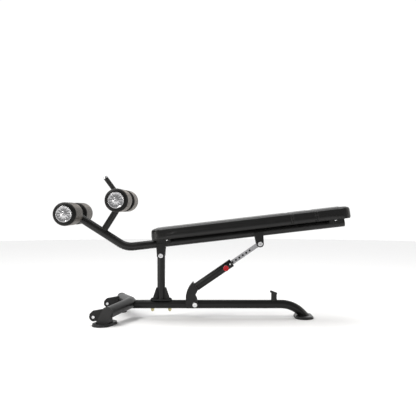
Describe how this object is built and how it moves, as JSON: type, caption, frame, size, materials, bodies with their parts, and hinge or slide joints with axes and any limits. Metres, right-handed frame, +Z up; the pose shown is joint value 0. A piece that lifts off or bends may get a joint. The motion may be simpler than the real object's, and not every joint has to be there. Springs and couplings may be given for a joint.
{
  "type": "adjustable decline bench",
  "caption": "Adjustable decline exercise bench: padded beam rocking on a post, leg rollers on two axles, pinned telescopic strut, splayed front feet with transport wheels.",
  "frame": {"origin": "on the floor, under the centre of the bench's bounding box", "axes": "+X from the leg holder to the head end of the pad, +Y across the bench, +Z up"},
  "size_m": [1.6481, 0.614, 0.8244],
  "materials": {
    "frame_black": "satin fine-textured black powder coat",
    "pad_vinyl": "smooth black upholstery vinyl with a fine grain",
    "board_black": "plywood with a black backing cloth",
    "roller_foam": "moulded black foam skin, satin",
    "roller_core": "moulded black plastic",
    "polished_disc": "polished, with pressed radial ribs",
    "bright_bolt": "bright plated",
    "zinc_nut": "yellow zinc plated",
    "zinc_bar": "clear zinc plated",
    "red_knob": "glossy red moulding",
    "black_rubber": "matt moulded rubber",
    "black_plastic": "moulded black plastic",
    "bushing": "acetal bearing plastic"
  },
  "bodies": {
    "frame": {"main_rail": "frame_black", "front_crossbar": "frame_black", "end_plates": "frame_black", "foot_ribs": "frame_black", "foot_plates": "frame_black", "foot_rubbers": "black_rubber", "wheel_brackets": "frame_black", "wheel_bolts": "bright_bolt", "saddle_plate": "frame_black", "post_flange": "frame_black", "post_tube": "frame_black", "post_ribs": "frame_black", "post_bolts": "frame_black", "post_nuts": "zinc_nut", "pivot_housing": "frame_black", "pivot_bushings": "bushing", "stop_post": "frame_black", "stop_bumper": "black_rubber"},
    "wheel_left": {"transport_wheel_left": "black_rubber"},
    "wheel_right": {"transport_wheel_right": "black_rubber"},
    "beam": {"beam_tube": "frame_black", "beam_caps": "black_plastic", "pivot_plates": "frame_black", "pivot_bolt": "bright_bolt", "clevis_plates": "frame_black", "clevis_bolt": "bright_bolt", "pad_brackets": "frame_black", "pad_bolts": "bright_bolt", "pad_board": "board_black", "pad_cushion": "pad_vinyl", "roller_post": "frame_black", "lower_axle": "frame_black", "upper_axle": "frame_black", "axle_end_screws": "bright_bolt", "axle_collars": "bright_bolt", "handle_tube": "frame_black", "handle_grip": "black_rubber", "handle_cap": "bright_bolt"},
    "bar": {"strut_eye": "frame_black", "strut_bar": "zinc_bar"},
    "sleeve": {"sleeve_tube": "frame_black", "sleeve_guide": "black_plastic", "guide_screw": "bright_bolt", "sleeve_bracket": "frame_black", "foot_pivot_bolts": "bright_bolt", "pin_housing": "frame_black"},
    "pin": {"pop_pin": "zinc_bar", "pin_knob": "red_knob"},
    "roller_lower_left": {"roller_foam_lower_left": "roller_foam", "roller_core_lower_left": "roller_core", "roller_disc_lower_left": "polished_disc"},
    "roller_lower_right": {"roller_foam_lower_right": "roller_foam", "roller_core_lower_right": "roller_core", "roller_disc_lower_right": "polished_disc"},
    "roller_upper_left": {"roller_foam_upper_left": "roller_foam", "roller_core_upper_left": "roller_core", "roller_disc_upper_left": "polished_disc"},
    "roller_upper_right": {"roller_foam_upper_right": "roller_foam", "roller_core_upper_right": "roller_core", "roller_disc_upper_right": "polished_disc"}
  },
  "joints": [
    {"name": "bench_tilt", "type": "hinge", "parent": "frame", "child": "beam", "pos_m": [-0.253, 0, 0.361], "axis": [0, 1, 0], "range_deg": [0, 28.15]},
    {"name": "bar_swing", "type": "hinge", "parent": "beam", "child": "bar", "pos_m": [0.3187, 0, 0.4292], "axis": [0, 1, 0], "range_deg": [-1, 8]},
    {"name": "sleeve_slide", "type": "slide", "parent": "bar", "child": "sleeve", "axis": [0.8251, 0, 0.565], "range_m": [-0.001, 0.17]},
    {"name": "pin_pull", "type": "slide", "parent": "sleeve", "child": "pin", "axis": [0, 1, 0], "range_m": [0, 0.0096]},
    {"name": "roller_spin_lower_left", "type": "hinge", "parent": "beam", "child": "roller_lower_left", "pos_m": [-0.7591, 0, 0.6018], "axis": [0, 1, 0], "continuous": true},
    {"name": "roller_spin_lower_right", "type": "hinge", "parent": "beam", "child": "roller_lower_right", "pos_m": [-0.7591, 0, 0.6018], "axis": [0, 1, 0], "continuous": true},
    {"name": "roller_spin_upper_left", "type": "hinge", "parent": "beam", "child": "roller_upper_left", "pos_m": [-0.4781, 0, 0.677], "axis": [0, 1, 0], "continuous": true},
    {"name": "roller_spin_upper_right", "type": "hinge", "parent": "beam", "child": "roller_upper_right", "pos_m": [-0.4781, 0, 0.677], "axis": [0, 1, 0], "continuous": true},
    {"name": "wheel_spin_left", "type": "hinge", "parent": "frame", "child": "wheel_left", "pos_m": [-0.6, -0.23, 0.0465], "axis": [0, 1, 0], "continuous": true},
    {"name": "wheel_spin_right", "type": "hinge", "parent": "frame", "child": "wheel_right", "pos_m": [-0.6, 0.23, 0.0465], "axis": [0, 1, 0], "continuous": true}
  ],
  "couplings": [
    {"joint": "bar_swing", "follows": "bench_tilt", "ratio": 0.2465},
    {"joint": "sleeve_slide", "follows": "bench_tilt", "m_per_rad": 0.3438}
  ]
}
